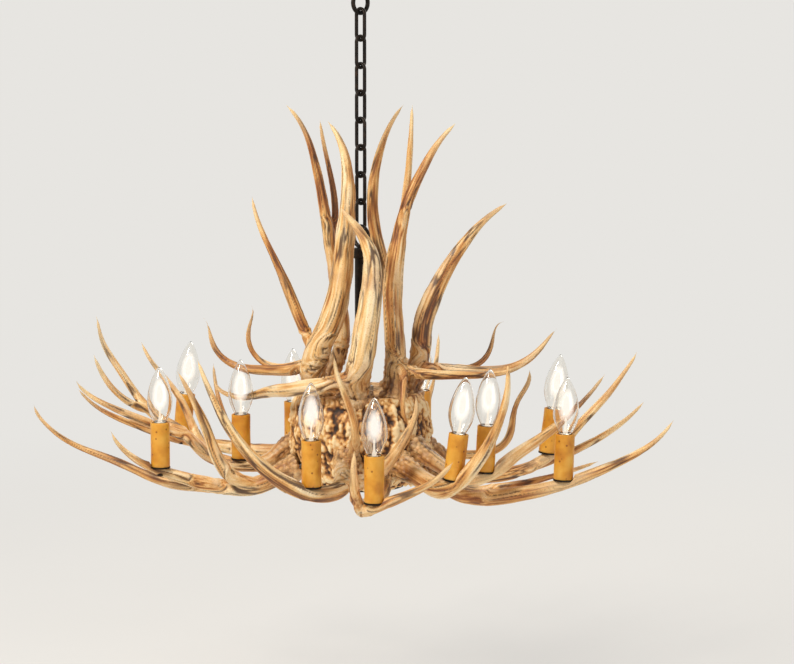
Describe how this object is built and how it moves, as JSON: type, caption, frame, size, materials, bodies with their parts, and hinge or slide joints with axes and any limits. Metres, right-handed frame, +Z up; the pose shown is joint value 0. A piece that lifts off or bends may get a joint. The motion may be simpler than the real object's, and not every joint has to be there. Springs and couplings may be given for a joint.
{
  "type": "antler chandelier",
  "caption": "Round chandelier of interlaced antlers on a central burr drum, with upright candle lamps, hung from a ceiling canopy by a short chain.",
  "frame": {"origin": "centre of the two ceiling screw holes, in the ceiling plane", "axes": "+Z up, +X to the right and +Y to the back of the pictured view"},
  "size_m": [0.884, 0.6532, 0.7359],
  "materials": {
    "antler": "ridged antler, satin, brown in the grooves and pale at the tips",
    "black_iron": "blackened iron, satin",
    "zinc_steel": "zinc plated steel",
    "burr_core": "rough pearled burr offcuts over a turned core",
    "phenolic": "moulded black lampholder",
    "candle_resin": "honey resin with dark specks",
    "bulb_glass": "clear blown glass"
  },
  "bodies": {
    "canopy": {"ceiling_canopy": "black_iron", "crossbar": "zinc_steel", "canopy_nipple": "zinc_steel", "canopy_loop": "black_iron"},
    "link_1": {"chain_link_1": "black_iron"},
    "link_2": {"chain_link_2": "black_iron"},
    "link_3": {"chain_link_3": "black_iron"},
    "link_4": {"chain_link_4": "black_iron"},
    "link_5": {"chain_link_5": "black_iron"},
    "link_6": {"chain_link_6": "black_iron"},
    "link_7": {"chain_link_7": "black_iron"},
    "link_8": {"chain_link_8": "black_iron"},
    "chandelier": {"antler_front_cross": "antler", "antler_front_fork": "antler", "antler_right_front": "antler", "antler_right_mid": "antler", "antler_right_long": "antler", "antler_right_back": "antler", "antler_back_right": "antler", "antler_back": "antler", "antler_back_left": "antler", "antler_left_back": "antler", "antler_left_long": "antler", "antler_left_crown": "antler", "antler_front_crown": "antler", "antler_right_crown": "antler", "antler_right_front_crown": "antler", "antler_back_right_crown": "antler", "antler_back_left_crown": "antler", "hub_loop": "black_iron", "hub_cover": "black_iron", "stem_pipe": "zinc_steel", "hub_fasteners": "zinc_steel", "hub_drum": "burr_core", "lamp_sockets": "phenolic", "lamp_hardware": "zinc_steel", "candle_sleeve_1": "candle_resin", "candle_sleeve_2": "candle_resin", "candle_sleeve_3": "candle_resin", "candle_sleeve_4": "candle_resin", "candle_sleeve_5": "candle_resin", "candle_sleeve_6": "candle_resin", "candle_sleeve_7": "candle_resin", "candle_sleeve_8": "candle_resin", "candle_sleeve_9": "candle_resin", "candle_sleeve_10": "candle_resin", "candle_sleeve_11": "candle_resin", "candle_sleeve_12": "candle_resin"},
    "lamp_1": {"bulb_1": "bulb_glass"},
    "lamp_2": {"bulb_2": "bulb_glass"},
    "lamp_3": {"bulb_3": "bulb_glass"},
    "lamp_4": {"bulb_4": "bulb_glass"},
    "lamp_5": {"bulb_5": "bulb_glass"},
    "lamp_6": {"bulb_6": "bulb_glass"},
    "lamp_7": {"bulb_7": "bulb_glass"},
    "lamp_8": {"bulb_8": "bulb_glass"},
    "lamp_9": {"bulb_9": "bulb_glass"},
    "lamp_10": {"bulb_10": "bulb_glass"},
    "lamp_11": {"bulb_11": "bulb_glass"},
    "lamp_12": {"bulb_12": "bulb_glass"}
  },
  "joints": [
    {"name": "link_1_swing", "type": "hinge", "parent": "canopy", "child": "link_1", "pos_m": [0, 0, -0.068], "axis": [0.7071, 0.7071, 0], "range_deg": [-20, 20]},
    {"name": "link_2_swing", "type": "hinge", "parent": "link_1", "child": "link_2", "pos_m": [0, 0, -0.1048], "axis": [-0.7071, 0.7071, 0], "range_deg": [-20, 20]},
    {"name": "link_3_swing", "type": "hinge", "parent": "link_2", "child": "link_3", "pos_m": [0, 0, -0.1421], "axis": [0.7071, 0.7071, 0], "range_deg": [-5, 5]},
    {"name": "link_4_swing", "type": "hinge", "parent": "link_3", "child": "link_4", "pos_m": [0, 0, -0.1794], "axis": [-0.7071, 0.7071, 0], "range_deg": [-5, 5]},
    {"name": "link_5_swing", "type": "hinge", "parent": "link_4", "child": "link_5", "pos_m": [0, 0, -0.2167], "axis": [0.7071, 0.7071, 0], "range_deg": [-2.5, 2.5]},
    {"name": "link_6_swing", "type": "hinge", "parent": "link_5", "child": "link_6", "pos_m": [0, 0, -0.254], "axis": [-0.7071, 0.7071, 0], "range_deg": [-2.5, 2.5]},
    {"name": "link_7_swing", "type": "hinge", "parent": "link_6", "child": "link_7", "pos_m": [0, 0, -0.2913], "axis": [0.7071, 0.7071, 0], "range_deg": [-2.5, 2.5]},
    {"name": "link_8_swing", "type": "hinge", "parent": "link_7", "child": "link_8", "pos_m": [0, 0, -0.3286], "axis": [-0.7071, 0.7071, 0], "range_deg": [-2.5, 2.5]},
    {"name": "chandelier_swing", "type": "hinge", "parent": "link_8", "child": "chandelier", "pos_m": [0, 0, -0.3659], "axis": [0.7071, 0.7071, 0], "range_deg": [-2.5, 2.5]},
    {"name": "bulb_1_lift", "type": "slide", "parent": "chandelier", "child": "lamp_1", "axis": [0, 0, 1], "range_m": [0, 0.024]},
    {"name": "bulb_2_lift", "type": "slide", "parent": "chandelier", "child": "lamp_2", "axis": [0.1045, 0, 0.9945], "range_m": [0, 0.024]},
    {"name": "bulb_3_lift", "type": "slide", "parent": "chandelier", "child": "lamp_3", "axis": [0, 0, 1], "range_m": [0, 0.024]},
    {"name": "bulb_4_lift", "type": "slide", "parent": "chandelier", "child": "lamp_4", "axis": [0, 0, 1], "range_m": [0, 0.024]},
    {"name": "bulb_5_lift", "type": "slide", "parent": "chandelier", "child": "lamp_5", "axis": [0, 0, 1], "range_m": [0, 0.024]},
    {"name": "bulb_6_lift", "type": "slide", "parent": "chandelier", "child": "lamp_6", "axis": [0, 0, 1], "range_m": [0, 0.024]},
    {"name": "bulb_7_lift", "type": "slide", "parent": "chandelier", "child": "lamp_7", "axis": [0, 0, 1], "range_m": [0, 0.024]},
    {"name": "bulb_8_lift", "type": "slide", "parent": "chandelier", "child": "lamp_8", "axis": [0.1219, 0, 0.9925], "range_m": [0, 0.024]},
    {"name": "bulb_9_lift", "type": "slide", "parent": "chandelier", "child": "lamp_9", "axis": [0.0523, 0, 0.9986], "range_m": [0, 0.024]},
    {"name": "bulb_10_lift", "type": "slide", "parent": "chandelier", "child": "lamp_10", "axis": [0.1219, 0, 0.9925], "range_m": [0, 0.024]},
    {"name": "bulb_11_lift", "type": "slide", "parent": "chandelier", "child": "lamp_11", "axis": [0.0349, 0, 0.9994], "range_m": [0, 0.024]},
    {"name": "bulb_12_lift", "type": "slide", "parent": "chandelier", "child": "lamp_12", "axis": [0, 0, 1], "range_m": [0, 0.024]}
  ]
}
